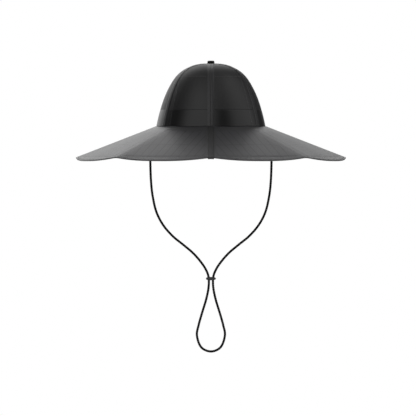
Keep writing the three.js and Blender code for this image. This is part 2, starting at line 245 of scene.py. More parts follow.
def moulded_rubber():
    """Dark grey silicone rubber from a spark-eroded mould: an even satin with a very fine grain."""
    material, tree = new_material("moulded rubber")
    grain_size = 0.35 * MM
    place = add(tree, "ShaderNodeTexCoord")["Object"]
    grain = add(tree, "ShaderNodeTexNoise", {"Vector": place, "Scale": 1 / grain_size})[0]
    return end_material(material, grain, "48484a", "555557", roughness=0.42, ior=1.42,
                        relief=(grain, 0.3, 0.05 * MM))


def lathe(name, profile, sides, middle, material, flatness=1):
    """A closed solid turned about an upright axis. The profile of radius and height runs from the
    axis below, outwards and back to the axis above. flatness narrows it from front to back."""
    turn = np.linspace(0, 2 * math.pi, sides, endpoint=False)
    rings = np.array([[(r * math.cos(a), flatness * r * math.sin(a), z) for a in turn]
                      for r, z in profile[1:-1]])
    ends = [(0, 0, profile[0][1]), (0, 0, profile[-1][1])]
    points = np.vstack([rings.reshape(-1, 3), ends]) + np.array(middle)
    faces = tube_faces(len(rings), sides)[:-2]
    bottom, top, top_ring = len(points) - 2, len(points) - 1, (len(rings) - 1) * sides
    for j in range(sides):
        k = (j + 1) % sides
        faces.append([bottom, k, j])
        faces.append([top, top_ring + j, top_ring + k])
    return mesh_object(name, points, faces, material)


def settle(piece, sharp_over=None):
    """Keeps what a piece's modifiers make as its own plain mesh."""
    evaluated = piece.evaluated_get(bpy.context.evaluated_depsgraph_get())
    mesh = bpy.data.meshes.new_from_object(evaluated)
    piece.modifiers.clear()
    piece.data = mesh
    mesh.shade_smooth()
    if sharp_over:
        mesh.set_sharp_from_angle(angle=math.radians(sharp_over))


def soften_edges(piece, width, over=40):
    """Rounds the edges of a piece that turn by more than so many degrees."""
    bevel = piece.modifiers.new("soft edges", "BEVEL")
    bevel.width = width
    bevel.segments = 2
    bevel.limit_method = "ANGLE"
    bevel.angle_limit = math.radians(over)


def drill(piece, middle, radius, reach, sides):
    """Cuts a round upright hole through a piece, as far as its reach above and below the middle."""
    profile = [(0, -reach), (radius, -reach), (radius, reach), (0, reach)]
    cutter = lathe("drill", profile, sides, middle, None)
    cut = piece.modifiers.new("hole", "BOOLEAN")
    cut.object = cutter
    cut.solver = "EXACT"
    settle(piece)
    bpy.data.objects.remove(cutter)


below = [(r * MM, -z * MM) for r, z in SLIDER_HALF_PROFILE]
above = [(r, -z) for r, z in reversed(below[:-1])]
slider = lathe("slider_disc", below + above, SLIDER_SIDES, (0, 0, SLIDER_MIDDLE_Z),
               moulded_rubber(), SLIDER_FLATNESS)
for side in (1, -1):
    drill(slider, (side * SLIDER_HOLE_X, 0, SLIDER_MIDDLE_Z), SLIDER_HOLE_RADIUS,
          SLIDER_HOLE_REACH, SLIDER_HOLE_SIDES)
soften_edges(slider, SLIDER_HOLE_ROUNDING)
settle(slider, sharp_over=SHARP_ANGLE)
belongs(slider, "slider", "cord_slider")


# The brim's cloth: a dark grey polyester canvas stiffened with foam. Its eight sections hang a
# little below their seams, so each seam stands up as a soft ridge. It is one cloth once sewn.
BRIM_SECTIONS = 8
OPENING_REACH = 90 * MM
RIM_REACH = 223 * MM
RIM_EDGE_WIDTH = 2.0 * MM
BRIM_SLOPE = 0.3895
SAG_AT_CROWN = 1.0 * MM
SAG_AT_RIM = 5.0 * MM
SAG_FULLNESS = 2.5
RIDGE_SOFTNESS = 6.0 * MM
FRONT_BACK_EXTRA = 12.6 * MM
CLOTH = 1.6 * MM
GAP = 0.3 * MM
BRIM_STEPS_OUT = 36
BRIM_STEPS_ROUND = 576

# How strongly the brim's cloth, film, binding and tape mirror, as an index of refraction.
BRIM_IOR = 1.78
half_section = math.pi / BRIM_SECTIONS


def brim_surface(reach, angle):
    """The brim's upper face. Reach is the distance from the middle, measured to either side, and
    angle runs round from the front."""
    from_seam = np.abs(angle - 2 * half_section * np.round(angle / (2 * half_section)))
    soft = RIDGE_SOFTNESS / reach
    share = (np.hypot(from_seam, soft) - soft) / (np.hypot(half_section, soft) - soft)
    out = (reach - OPENING_REACH) / (RIM_REACH - OPENING_REACH)
    sag = (SAG_AT_CROWN + (SAG_AT_RIM - SAG_AT_CROWN) * out) * (1 - (1 - share) ** SAG_FULLNESS)
    x = reach * np.sin(angle)
    y = -(reach + FRONT_BACK_EXTRA) * np.cos(angle)
    return np.stack([x, y, -BRIM_SLOPE * (reach - OPENING_REACH) - sag], axis=-1)


def lifted(surface, first, second, lift, step=1e-4):
    """Points moved off a surface by a lift. A positive lift goes out of the hat, for a surface
    whose first number turns to its second about the way out."""
    first, second, lift = np.broadcast_arrays(first, second, lift)
    along_first = surface(first + step, second) - surface(first - step, second)
    along_second = surface(first, second + step) - surface(first, second - step)
    outward = np.cross(along_first, along_second)
    outward /= np.linalg.norm(outward, axis=-1, keepdims=True)
    return surface(first, second) + lift[..., None] * outward


def woven_height(tree, place, spacing):
    """The height of a plain weave with that thread spacing: each thread goes over and under."""
    across = add(tree, "ShaderNodeSeparateXYZ", {0: place})
    waves = []
    for side in (0, 1):
        phase = add(tree, "ShaderNodeMath", {0: across[side], 1: math.pi / spacing},
                    operation="MULTIPLY")[0]
        waves.append(add(tree, "ShaderNodeMath", {0: phase}, operation="SINE")[0])
    return add(tree, "ShaderNodeMath", {0: waves[0], 1: waves[1]}, operation="MULTIPLY")[0]


def stiffened_canvas():
    """Polyester canvas over foam: an even plain weave with a sheen and slight changes of tone. Its
    threads are drawn a little coarser than the real 0.4 mm, so that they show."""
    material, tree = new_material("stiffened canvas")
    thread_spacing = 0.7 * MM
    place = add(tree, "ShaderNodeTexCoord")["Object"]
    threads = woven_height(tree, place, thread_spacing)
    patches = add(tree, "ShaderNodeTexNoise", {"Vector": place, "Scale": 60.0, "Detail": 4.0})[0]
    return end_material(material, patches, "2d2d2f", "343436", roughness=0.36, ior=BRIM_IOR,
                        relief=(threads, 0.4, 0.1 * MM))


def growing_tree(name, **sizes):
    """A Geometry Nodes tree with an input for each size, and the outputs of its Group Input."""
    tree = bpy.data.node_groups.new(name, "GeometryNodeTree")
    for way in ("INPUT", "OUTPUT"):
        tree.interface.new_socket("Geometry", in_out=way, socket_type="NodeSocketGeometry")
    for size, kind in sizes.items():
        tree.interface.new_socket(size, in_out="INPUT", socket_type="NodeSocket" + kind)
    return tree, add(tree, "NodeGroupInput")


def grow(piece, tree, **sizes):
    """Runs a tree on a piece with its inputs set, and keeps what it makes as the piece's mesh."""
    modifier = piece.modifiers.new(tree.name, "NODES")
    modifier.node_group = tree
    for socket in tree.interface.items_tree:
        if socket.name in sizes:
            modifier[socket.identifier] = sizes[socket.name]
    settle(piece)


def brim_tree():
    """Lays a flat grid out round the hat by the brim's rule, and joins its two ends."""
    tree, size = growing_tree(
        "brim cloth", inner_reach="Float", outer_reach="Float", opening_reach="Float",
        rim_reach="Float", slope="Float", sag_at_crown="Float", sag_at_rim="Float",
        sag_fullness="Float", ridge_softness="Float", front_back_extra="Float",
        sections="Int", points_out="Int", points_round="Int", material="Material",
    )
    grid = add(tree, "GeometryNodeMeshGrid",
               {"Size X": 1.0, "Size Y": 1.0, "Vertices X": size["points_out"],
                "Vertices Y": size["points_round"]})[0]
    spot = add(tree, "ShaderNodeSeparateXYZ", {0: add(tree, "GeometryNodeInputPosition")[0]})
    reach = add(tree, "ShaderNodeMapRange",
                {0: spot[0], 1: -0.5, 2: 0.5, 3: size["inner_reach"], 4: size["outer_reach"]})[0]
    angle = add(tree, "ShaderNodeMapRange", {0: spot[1], 1: -0.5, 2: 0.5, 3: 0.0, 4: 2 * math.pi})[0]
    half = add(tree, "ShaderNodeMath", {0: math.pi, 1: size["sections"]}, operation="DIVIDE")[0]
    from_seam = add(tree, "ShaderNodeMath", {0: angle, 1: half}, operation="PINGPONG")[0]
    soft = add(tree, "ShaderNodeMath", {0: size["ridge_softness"], 1: reach}, operation="DIVIDE")[0]
    rounded = []
    for turned in (from_seam, half):
        corner = add(tree, "ShaderNodeCombineXYZ", {0: turned, 1: soft})[0]
        slant = add(tree, "ShaderNodeVectorMath", {0: corner}, operation="LENGTH")["Value"]
        rounded.append(add(tree, "ShaderNodeMath", {0: slant, 1: soft}, operation="SUBTRACT")[0])
    share = add(tree, "ShaderNodeMath", {0: rounded[0], 1: rounded[1]}, operation="DIVIDE")[0]
    rest = add(tree, "ShaderNodeMath", {0: 1.0, 1: share}, operation="SUBTRACT")[0]
    rest = add(tree, "ShaderNodeMath", {0: rest, 1: size["sag_fullness"]}, operation="POWER")[0]
    hang = add(tree, "ShaderNodeMath", {0: 1.0, 1: rest}, operation="SUBTRACT")[0]
    depth = add(tree, "ShaderNodeMapRange",
                {0: reach, 1: size["opening_reach"], 2: size["rim_reach"],
                 3: size["sag_at_crown"], 4: size["sag_at_rim"]}, clamp=False)[0]
    sag = add(tree, "ShaderNodeMath", {0: depth, 1: hang}, operation="MULTIPLY")[0]
    past = add(tree, "ShaderNodeMath", {0: reach, 1: size["opening_reach"]}, operation="SUBTRACT")[0]
    drop = add(tree, "ShaderNodeMath", {0: past, 1: size["slope"], 2: sag},
               operation="MULTIPLY_ADD")[0]
    long_reach = add(tree, "ShaderNodeMath", {0: reach, 1: size["front_back_extra"]},
                     operation="ADD")[0]
    sine = add(tree, "ShaderNodeMath", {0: angle}, operation="SINE")[0]
    cosine = add(tree, "ShaderNodeMath", {0: angle}, operation="COSINE")[0]
    x = add(tree, "ShaderNodeMath", {0: reach, 1: sine}, operation="MULTIPLY")[0]
    y = add(tree, "ShaderNodeMath", {0: long_reach, 1: cosine}, operation="MULTIPLY")[0]
    place = add(tree, "ShaderNodeCombineXYZ", {0: x, 1: y, 2: drop})[0]
    place = add(tree, "ShaderNodeVectorMath", {0: place, 1: (1, -1, -1)}, operation="MULTIPLY")[0]
    cloth = add(tree, "GeometryNodeSetPosition", {"Geometry": grid, "Position": place})[0]
    cloth = add(tree, "GeometryNodeMergeByDistance", {0: cloth, "Distance": 0.01 * MM})[0]
    cloth = add(tree, "GeometryNodeRealizeInstances", {0: cloth})[0]
    cloth = add(tree, "GeometryNodeSetMaterial", {0: cloth, "Material": size["material"]})[0]
    add(tree, "NodeGroupOutput", {0: cloth})
    return tree


brim_cloth = mesh_object("brim_cloth", [], [], None)
grow(brim_cloth, brim_tree(), inner_reach=OPENING_REACH - CLOTH,
     outer_reach=RIM_REACH - RIM_EDGE_WIDTH, opening_reach=OPENING_REACH, rim_reach=RIM_REACH,
     slope=BRIM_SLOPE, sag_at_crown=SAG_AT_CROWN, sag_at_rim=SAG_AT_RIM, sag_fullness=SAG_FULLNESS,
     ridge_softness=RIDGE_SOFTNESS, front_back_extra=FRONT_BACK_EXTRA, sections=BRIM_SECTIONS,
     points_out=BRIM_STEPS_OUT + 1, points_round=BRIM_STEPS_ROUND + 1, material=stiffened_canvas())
thicken = brim_cloth.modifiers.new("cloth", "SOLIDIFY")
thicken.thickness = CLOTH
thicken.offset = -1
settle(brim_cloth, sharp_over=SHARP_ANGLE)
belongs(brim_cloth, "brim_cloth", *[f"brim_panel_{i + 1}" for i in range(BRIM_SECTIONS)])


# The solar sheets: thin laminated film, one bonded to each section of the brim so that it lies
# almost flush. Its dark cells are strips along the section, with one line across them, and its
# edges thin away into the cloth. It has no stitches.
SHEET_BASE_LIFT = 0.05 * MM
SHEET = 0.22 * MM
SHEET_START = 105.3 * MM
SHEET_END = 207.9 * MM
SHEET_END_BOW = 6.5 * MM
SHEET_FROM_SEAM = 9 * MM
SHEET_EDGE_WIDTH = 4.0 * MM
SHEET_EDGE_DROP = 0.18 * MM
SHEET_STEPS_ACROSS = 36
SHEET_STEPS_OUT = 28
SHEET_EDGE_SHARE = 0.025
CELL_WIDTH = 13.7 * MM
CELL_CROSS_LINE = 160.7 * MM
CELL_LINE_WIDTH = 1.2 * MM
CELL_LINE_IOR = 1.62


def shell(name, outer, inner, weave, material):
    """A piece of cloth or film between two grids of points, which lie alike in the weave. The
    outer grid's columns turn to its rows about the way out."""
    rows, columns = outer.shape[:2]
    far = rows * columns
    number = np.arange(far).reshape(rows, columns)
    corners = [number[:-1, :-1], number[:-1, 1:], number[1:, 1:], number[1:, :-1]]
    outside = np.stack(corners, axis=-1).reshape(-1, 4)
    around = np.concatenate([number[0, :], number[1:, -1], number[-1, -2::-1], number[-2:0:-1, 0]])
    ahead = np.roll(around, -1)
    edge = np.stack([ahead, around, around + far, ahead + far], axis=-1)
    faces = np.vstack([outside, outside[:, ::-1] + far, edge]).tolist()
    points = np.concatenate([outer.reshape(-1, 3), inner.reshape(-1, 3)])
    both = np.concatenate([weave.reshape(-1, 2)] * 2)
    return mesh_object(name, points, faces, material, both, sharp_over=SHARP_ANGLE)


def steps_with_edges(count, edge):
    """Steps from 0 to 1 that are finer within edge of either end."""
    near = edge * np.array([0, 0.1, 0.3, 0.6])
    return np.concatenate([near, np.linspace(edge, 1 - edge, count), 1 - near[::-1]])


def rolled_edge(distance, round_off):
    """How far a rounded edge falls away, at a distance from it."""
    inwards = np.clip(1 - distance / round_off, 0, 1)
    return round_off * (1 - np.sqrt(1 - inwards ** 2))


def solar_film():
    """Thin-film cells laminated on cloth: dark blue-grey, satin, with thin darker cell lines."""
    material, tree = new_material("laminated solar film")
    weave = add(tree, "ShaderNodeUVMap", uv_map="weave")[0]
    across = add(tree, "ShaderNodeSeparateXYZ", {0: weave})
    to_strip = add(tree, "ShaderNodeMath", {0: across[1], 1: CELL_WIDTH / 2}, operation="PINGPONG")[0]
    to_cross = add(tree, "ShaderNodeMath", {0: across[0], 1: CELL_CROSS_LINE}, operation="SUBTRACT")[0]
    to_cross = add(tree, "ShaderNodeMath", {0: to_cross}, operation="ABSOLUTE")[0]
    to_line = add(tree, "ShaderNodeMath", {0: to_strip, 1: to_cross}, operation="MINIMUM")[0]
    line = add(tree, "ShaderNodeMapRange",
               {0: to_line, 1: 0.2 * CELL_LINE_WIDTH, 2: 0.6 * CELL_LINE_WIDTH, 3: 1.0, 4: 0.0},
               interpolation_type="SMOOTHSTEP")[0]
    clouds = add(tree, "ShaderNodeTexNoise", {"Vector": weave, "Scale": 55.0, "Detail": 4.0})[0]
    cell = add(tree, "ShaderNodeMix", {0: clouds, 6: linear("303033"), 7: linear("37373a")},
               data_type="RGBA")[2]
    tone = add(tree, "ShaderNodeMix", {0: line, 6: cell, 7: linear("161619")}, data_type="RGBA")[2]
    gloss = add(tree, "ShaderNodeMapRange",
                {0: line, 1: 0.0, 2: 1.0, 3: BRIM_IOR, 4: CELL_LINE_IOR})[0]
    threads = woven_height(tree, weave, 0.8 * MM)
    groove = add(tree, "ShaderNodeMath", {0: line, 1: -0.5, 2: threads}, operation="MULTIPLY_ADD")[0]
    bump = add(tree, "ShaderNodeBump", {"Height": groove, "Strength": 0.25, "Distance": 0.1 * MM})[0]
    shader = add(tree, "ShaderNodeBsdfPrincipled",
                 {"Base Color": tone, "Roughness": 0.38, "IOR": gloss, "Normal": bump})[0]
    add(tree, "ShaderNodeOutputMaterial", {0: shader})
    return material


def sheet_reach(side, out):
    """How far from the middle a point of a sheet is: side runs from -1 to 1 and out from 0 to 1."""
    start = SHEET_START / np.cos(side * (half_section - SHEET_FROM_SEAM / SHEET_START))
    return start + (SHEET_END + SHEET_END_BOW * side ** 2 - start) * out


film = solar_film()
side = 2 * steps_with_edges(SHEET_STEPS_ACROSS, SHEET_EDGE_SHARE)[:, None] - 1
out = steps_with_edges(SHEET_STEPS_OUT, SHEET_EDGE_SHARE)[None, :]
for i in range(BRIM_SECTIONS):
    reach = sheet_reach(side, out)
    off_middle = side * (half_section - SHEET_FROM_SEAM / reach)
    angle = 2 * half_section * (i + 0.5) + off_middle
    from_side = (1 - np.abs(side)) * reach * half_section
    from_end = np.minimum(out, 1 - out) * (SHEET_END - SHEET_START)
    near_edge = np.clip(np.minimum(from_side, from_end) / SHEET_EDGE_WIDTH, 0, 1)
    drop = SHEET_EDGE_DROP * (1 + np.cos(math.pi * near_edge)) / 2
    top = lifted(brim_surface, reach, angle, SHEET_BASE_LIFT + SHEET - drop)
    bottom = lifted(brim_surface, reach, angle, SHEET_BASE_LIFT)
    weave = np.stack([reach * np.cos(off_middle), reach * np.sin(off_middle)], axis=-1)
    sheet = shell(f"solar_sheet_film_{i + 1}", top, bottom, weave, film)
    belongs(sheet, "solar_sheet", f"solar_sheet_{i + 1}")


# The rim edge: a narrow dark grey binding folded over the raw edge of the brim. It is a close
# cotton twill with a satin finish, a little thicker than the cloth it covers.
RIM_EDGE_PROUD = 0.15 * MM
RIM_EDGE_STEPS = 768
RIM_EDGE_CORNER_STEPS = 5


def woven_binding():
    """Dark grey cotton binding: a close satin twill, a little worn and lighter in places."""
    material, tree = new_material("cotton binding")
    place = add(tree, "ShaderNodeTexCoord")["Object"]
    threads = add(tree, "ShaderNodeTexNoise", {"Vector": place, "Scale": 1 / (0.6 * MM)})[0]
    worn = add(tree, "ShaderNodeTexNoise", {"Vector": place, "Scale": 45.0, "Detail": 3.0})[0]
    return end_material(material, worn, "333335", "3e3e40", roughness=0.42, ior=BRIM_IOR,
                        relief=(threads, 0.5, 0.1 * MM))


inner_edge = RIM_REACH - RIM_EDGE_WIDTH + GAP
half_thick = CLOTH / 2 + RIM_EDGE_PROUD
arc = np.linspace(-math.pi / 2, math.pi / 2, 2 * RIM_EDGE_CORNER_STEPS)
fold_reach = RIM_REACH - half_thick * (1 - np.cos(arc))
section_reach = np.concatenate([[inner_edge], fold_reach, [inner_edge]])
section_lift = np.concatenate([[-half_thick], half_thick * np.sin(arc), [half_thick]]) - CLOTH / 2
round_rim = np.linspace(0, 2 * math.pi, RIM_EDGE_STEPS, endpoint=False)[:, None]
rim_points = lifted(brim_surface, section_reach[None, :], round_rim, section_lift[None, :])
number = np.arange(rim_points.shape[0] * rim_points.shape[1]).reshape(rim_points.shape[:2])
ahead_round, ahead_section = np.roll(number, -1, axis=0), np.roll(number, -1, axis=1)
both_ahead = np.roll(ahead_round, -1, axis=1)
rim_faces = np.stack([number, ahead_round, both_ahead, ahead_section], axis=-1).reshape(-1, 4)
rim_edge = mesh_object("rim_edge_binding", rim_points.reshape(-1, 3), rim_faces.tolist(),
                       woven_binding(), sharp_over=SHARP_ANGLE)
belongs(rim_edge, "rim_edge", "rim_edge")


# The brim tape: a black woven tape down the front ridge. It starts as a turned-in end piece at
# the crown, runs out over the rim edge and is stitched down again on the underside.
TAPE = 1.0 * MM
BRIM_TAPE_WIDTH = 11 * MM
BRIM_TAPE_TOP_WIDTH = 13.2 * MM
BRIM_TAPE_TOP_LENGTH = 3 * MM
BRIM_TAPE_SHOULDER = 0.5 * MM
BRIM_TAPE_CLIMB_START = 5 * MM
BRIM_TAPE_CLIMB_END = 2.5 * MM
BRIM_TAPE_FOLD_START = 0.6 * MM
BRIM_TAPE_FOLD_DROP = 0.35 * MM
BRIM_TAPE_RETURN = 7 * MM
BRIM_TAPE_EDGE_ROUND = 0.3 * MM
BRIM_TAPE_EDGE_SHARE = 0.05
BRIM_TAPE_STEPS_ACROSS = 9
BRIM_TAPE_FLAT_STATIONS = 40


def grosgrain_tape(name, darkest, lightest, roughness, ior):
    """Polyester grosgrain: fine ribs across the tape, with a slight sheen on their crowns."""
    material, tree = new_material(name)
    rib_spacing = 0.9 * MM
    weave = add(tree, "ShaderNodeUVMap", uv_map="weave")[0]
    along = add(tree, "ShaderNodeSeparateXYZ", {0: weave})[0]
    phase = add(tree, "ShaderNodeMath", {0: along, 1: 2 * math.pi / rib_spacing},
                operation="MULTIPLY")[0]
    ribs = add(tree, "ShaderNodeMath", {0: phase}, operation="SINE")[0]
    patches = add(tree, "ShaderNodeTexNoise", {"Vector": weave, "Scale": 180.0, "Detail": 3.0})[0]
    return end_material(material, patches, darkest, lightest, roughness, ior,
                        relief=(ribs, 0.35, 0.08 * MM))


top_start = OPENING_REACH + 2 * GAP + TAPE
top_end = top_start + BRIM_TAPE_TOP_LENGTH
over, under = GAP + RIM_EDGE_PROUD, -CLOTH - RIM_EDGE_PROUD - GAP
flat_from, flat_to = top_end + BRIM_TAPE_SHOULDER, RIM_REACH - BRIM_TAPE_CLIMB_START
climb_to, round_to = RIM_REACH - BRIM_TAPE_CLIMB_END, RIM_REACH + GAP
wide, narrow = BRIM_TAPE_TOP_WIDTH, BRIM_TAPE_WIDTH

# Each station of the tape: its reach, its inner face's lift, which way its outer face looks (up,
# down or between), its width, and how far its thickness goes outwards past the rim.
flat_reaches = np.linspace(flat_from, flat_to, BRIM_TAPE_FLAT_STATIONS)
stations = [(top_start, GAP, 1, wide, 0), (top_end, GAP, 1, wide, 0)]
stations += [(reach, GAP, 1, narrow, 0) for reach in flat_reaches]
stations += [
    (climb_to, over, 1, narrow, 0),
    (round_to - BRIM_TAPE_FOLD_START, over, 1, narrow, 0.4),
    (round_to, over - BRIM_TAPE_FOLD_DROP, 0.7, narrow, 0.9),
    (round_to, (over + under) / 2, 0, narrow, 1),
    (round_to, under + BRIM_TAPE_FOLD_DROP, -0.7, narrow, 0.9),
    (round_to - BRIM_TAPE_FOLD_START, under, -1, narrow, 0.4),
    (climb_to, under, -1, narrow, 0),
    (RIM_REACH - BRIM_TAPE_RETURN, under, -1, narrow, 0),
]
reach, lift, facing, width, outward = np.array(stations).T
across = steps_with_edges(BRIM_TAPE_STEPS_ACROSS, BRIM_TAPE_EDGE_SHARE)[:, None] - 0.5
edge_drop = rolled_edge((0.5 - np.abs(across)) * width, BRIM_TAPE_EDGE_ROUND)
outer_reach = reach + outward * TAPE
tape_angle = across * width / (reach + FRONT_BACK_EXTRA)
outer = lifted(brim_surface, outer_reach, tape_angle, lift + facing * (TAPE - edge_drop))
inner = lifted(brim_surface, reach, tape_angle, lift)
run = run_along(np.column_stack([outer_reach, lift]))
weave = np.stack(np.broadcast_arrays(run[None, :], across * width), axis=-1)
brim_tape_material = grosgrain_tape("brim tape grosgrain", "19191a", "232324", roughness=0.36,
                                    ior=BRIM_IOR)
brim_tape = shell("brim_front_tape", outer, inner, weave, brim_tape_material)
belongs(brim_tape, "brim_tape", "brim_tape")


# The crown: six gores of matt black cloth, and below them a band of the same six widths in a
# smoother coated cloth. The edges of both are turned in, so a dark line runs between them.
CROWN_PANELS = 6
CROWN_LONGER = 1.14
CROWN_TOP_HOLE = 2 * MM
BAND_HEIGHT = 27.2 * MM
CROWN_LINE_SPACING = 0.2 * MM
SEAM_SPREAD = math.radians(11)
TURNED_EDGE = 0.4 * MM
GORE_STEPS_UP = 70
BAND_STEPS_UP = 16
PANEL_STEPS_ACROSS = 48
FOOT_LOWEST, FOOT_HIGHEST = 0.002, 0.1
FOOT_HALVINGS = 30

# The crown's outline from below: its half width and height in millimetres.
CROWN_OUTLINE = [
    (90.9, -4), (90, 0), (86.7, 15), (82.6, 30), (77.6, 45), (71.1, 60), (62.6, 75), (54.5, 85),
    (44.4, 93), (31.2, 99), (17.3, 102), (0, 103),
]

crown_line = smooth_line([(w * MM, z * MM) for w, z in CROWN_OUTLINE], 0, CROWN_LINE_SPACING)
crown_climbs = np.linspace(0, 1, len(crown_line))
crown_length = float(run_along(crown_line)[-1])


def crown_outline(climb):
    """The crown's half width and height at a climb, which is its outline's share up to there: 0
    under the brim and 1 on top."""
    return [np.interp(climb, crown_climbs, axis) for axis in crown_line.T]


def climb_at_height(height):
    """The climb where the crown's outline has a height."""
    return float(np.interp(height, crown_line[:, 1], crown_climbs))


def climb_at_half_width(half_width):
    """The climb where the crown's outline has a half width."""
    return float(np.interp(-half_width, -crown_line[:, 0], crown_climbs))


def seam_spread(climb):
    """How far a surface point swings towards the hat's side with its climb, at the most."""
    return SEAM_SPREAD * np.clip(crown_outline(climb)[1] / crown_line[-1, 1], 0, 1) ** 3


def crown_surface(angle, climb):
    """The crown's outer face. A seam has one angle all the way up, and the side seams swing out
    as they climb."""
    half_width, height = crown_outline(climb)
    swung = angle + seam_spread(climb) * np.sin(2 * angle)
    y = -CROWN_LONGER * half_width * np.cos(swung)
    return np.stack([half_width * np.sin(swung), y, height], axis=-1)


def on_crown(angle, climb, lift):
    """Points on the crown, lifted off its outer face."""
    return lifted(crown_surface, angle, climb, lift, step=4e-3)


def crown_girth(angle, climb):
    """Metres round the crown for each radian."""
    half_width = crown_outline(climb)[0]
    swung = angle + seam_spread(climb) * np.sin(2 * angle)
    stretch = 1 + 2 * seam_spread(climb) * np.cos(2 * angle)
    return half_width * stretch * np.hypot(np.cos(swung), CROWN_LONGER * np.sin(swung))


def foot_climb(angle, lift):
    """Where a face of the crown, lifted off its outline, stands on the brim with a gap."""
    low, high = [np.full(np.shape(angle), end) for end in (FOOT_LOWEST, FOOT_HIGHEST)]
    for _ in range(FOOT_HALVINGS):
        middle = (low + high) / 2
        point = on_crown(angle, middle, lift)
        reach = np.hypot(point[..., 0], point[..., 1] / CROWN_LONGER)
        too_low = point[..., 2] - brim_surface(reach, angle)[..., 2] < GAP
        low, high = np.where(too_low, middle, low), np.where(too_low, high, middle)
    return (low + high) / 2


def crown_polyester(name, roughness, ior, strength, depth):
    """Tightly woven polyester, almost black: a plain weave with slight changes of tone."""
    material, tree = new_material(name)
    weave = add(tree, "ShaderNodeUVMap", uv_map="weave")[0]
    threads = woven_height(tree, weave, 0.7 * MM)
    patches = add(tree, "ShaderNodeTexNoise", {"Vector": weave, "Scale": 50.0, "Detail": 4.0})[0]
    return end_material(material, patches, "0b0b0c", "101011", roughness, ior,
                        relief=(threads, strength, depth))


panel_angle = 2 * math.pi / CROWN_PANELS
band_climb = climb_at_height(BAND_HEIGHT)
top_climb = climb_at_half_width(CROWN_TOP_HOLE)


def above_band(angle, lift):
    """Where the upper gores start: against the band's top edge, which they are sewn to."""
    return np.full(np.shape(angle), band_climb)


def gore(name, panel, start_climb, end_climb, steps_up, material):
    """One panel of the crown between two seams. Its upper and lower edges are turned in."""
    height = (end_climb - band_climb if start_climb is above_band else band_climb) * crown_length
    up = steps_with_edges(steps_up, TURNED_EDGE / height)[:, None]
    across = np.linspace(0, 1, PANEL_STEPS_ACROSS + 1)[None, :]
    seam = panel_angle * (panel + across)

    def face(lift, turned_in):
        start = start_climb(seam, lift)
        climb = start + (end_climb - start) * up
        angle = seam + GAP / 2 / crown_girth(seam, climb) * (1 - 2 * across)
        from_edge = np.minimum(climb - start, end_climb - climb) * crown_length
        drop = turned_in * rolled_edge(from_edge, TURNED_EDGE)
        return on_crown(angle, climb, lift - drop), angle, climb

    outer, angle, climb = face(0.0, 1)
    inner = face(-CLOTH, 0)[0]
    from_middle = angle - panel_angle * (panel + 0.5)
    weave = np.stack([from_middle * crown_girth(angle, climb), climb * crown_length], axis=-1)
    return shell(name, outer, inner, weave, material)


# The gores are matt, with a soft sheen where they are seen edge-on. The band's coating fills its
# weave and it is pressed smooth, so it mirrors softly.
matt = crown_polyester("matt woven polyester", roughness=0.46, ior=1.56,
                       strength=0.3, depth=0.08 * MM)
coated = crown_polyester("coated polyester", roughness=0.33, ior=1.5,
                         strength=0.1, depth=0.05 * MM)
for i in range(CROWN_PANELS):
    upper = gore(f"crown_gore_{i + 1}", i, above_band, top_climb, GORE_STEPS_UP, matt)
    belongs(upper, "crown_cloth", f"crown_panel_{i + 1}")
    band = gore(f"crown_band_cloth_{i + 1}", i, foot_climb, band_climb, BAND_STEPS_UP, coated)
    belongs(band, "band_cloth", f"crown_band_{i + 1}")


# The seam tapes: a narrow black tape over each of the crown's six seams, from the brim to the
# button. Each is two turned-in strips that meet in a groove, and it is stitched along both edges
# and the groove. It is pressed thinner towards the button, where all six meet.
TAPE_WIDTH = 11.4 * MM
TAPE_LIFT = 0.1 * MM
TAPE_OUTER_LIFT = 0.7 * MM
TAPE_TOP_LIFT = 0.35 * MM
TAPE_THIN_FROM = 28 * MM
TAPE_EDGE_WIDTH = 2.2 * MM
TAPE_EDGE_LIFT = 0.2 * MM
TAPE_GROOVE_WIDTH = 0.5 * MM
TAPE_TOP_REACH = 6.0 * MM
TAPE_STEPS_UP = 149

# Where the points across a tape lie, from its edge at -1 to its groove at 0: closer at both.
TAPE_HALF_ACROSS = [-1, -0.985, -0.96, -0.9, -0.75, -0.55, -0.35, -0.2, -0.12, -0.06, 0]

seam_tape_material = grosgrain_tape("seam tape grosgrain", "232324", "2d2d2e", roughness=0.34,
                                    ior=1.5)
mirrored = [-place for place in reversed(TAPE_HALF_ACROSS[:-1])]
across = np.array([TAPE_HALF_ACROSS + mirrored])
tape_top_climb = climb_at_half_width(TAPE_TOP_REACH)


def tape_half_width(angle, climb):
    """Half a seam tape's width: the same all the way, until the tapes meet near the top."""
    return np.minimum(TAPE_WIDTH / 2, crown_girth(angle, climb) * panel_angle / 2 - GAP)


def tape_foot(seam):
    """The climb where a seam tape starts, just over the brim."""
    return float(foot_climb(np.array([seam]), TAPE_LIFT)[0])


def tape_face(climb, from_edge):
    """How far a seam tape's outer face is off the gores: less near the button and at its edges."""
    flat = np.interp(crown_outline(climb)[0], [TAPE_TOP_REACH, TAPE_THIN_FROM],
                     [TAPE_TOP_LIFT, TAPE_OUTER_LIFT])
    near_edge = np.clip(from_edge / TAPE_EDGE_WIDTH, 0, 1)
    return flat - (flat - TAPE_EDGE_LIFT) * (1 + np.cos(math.pi * near_edge)) / 2


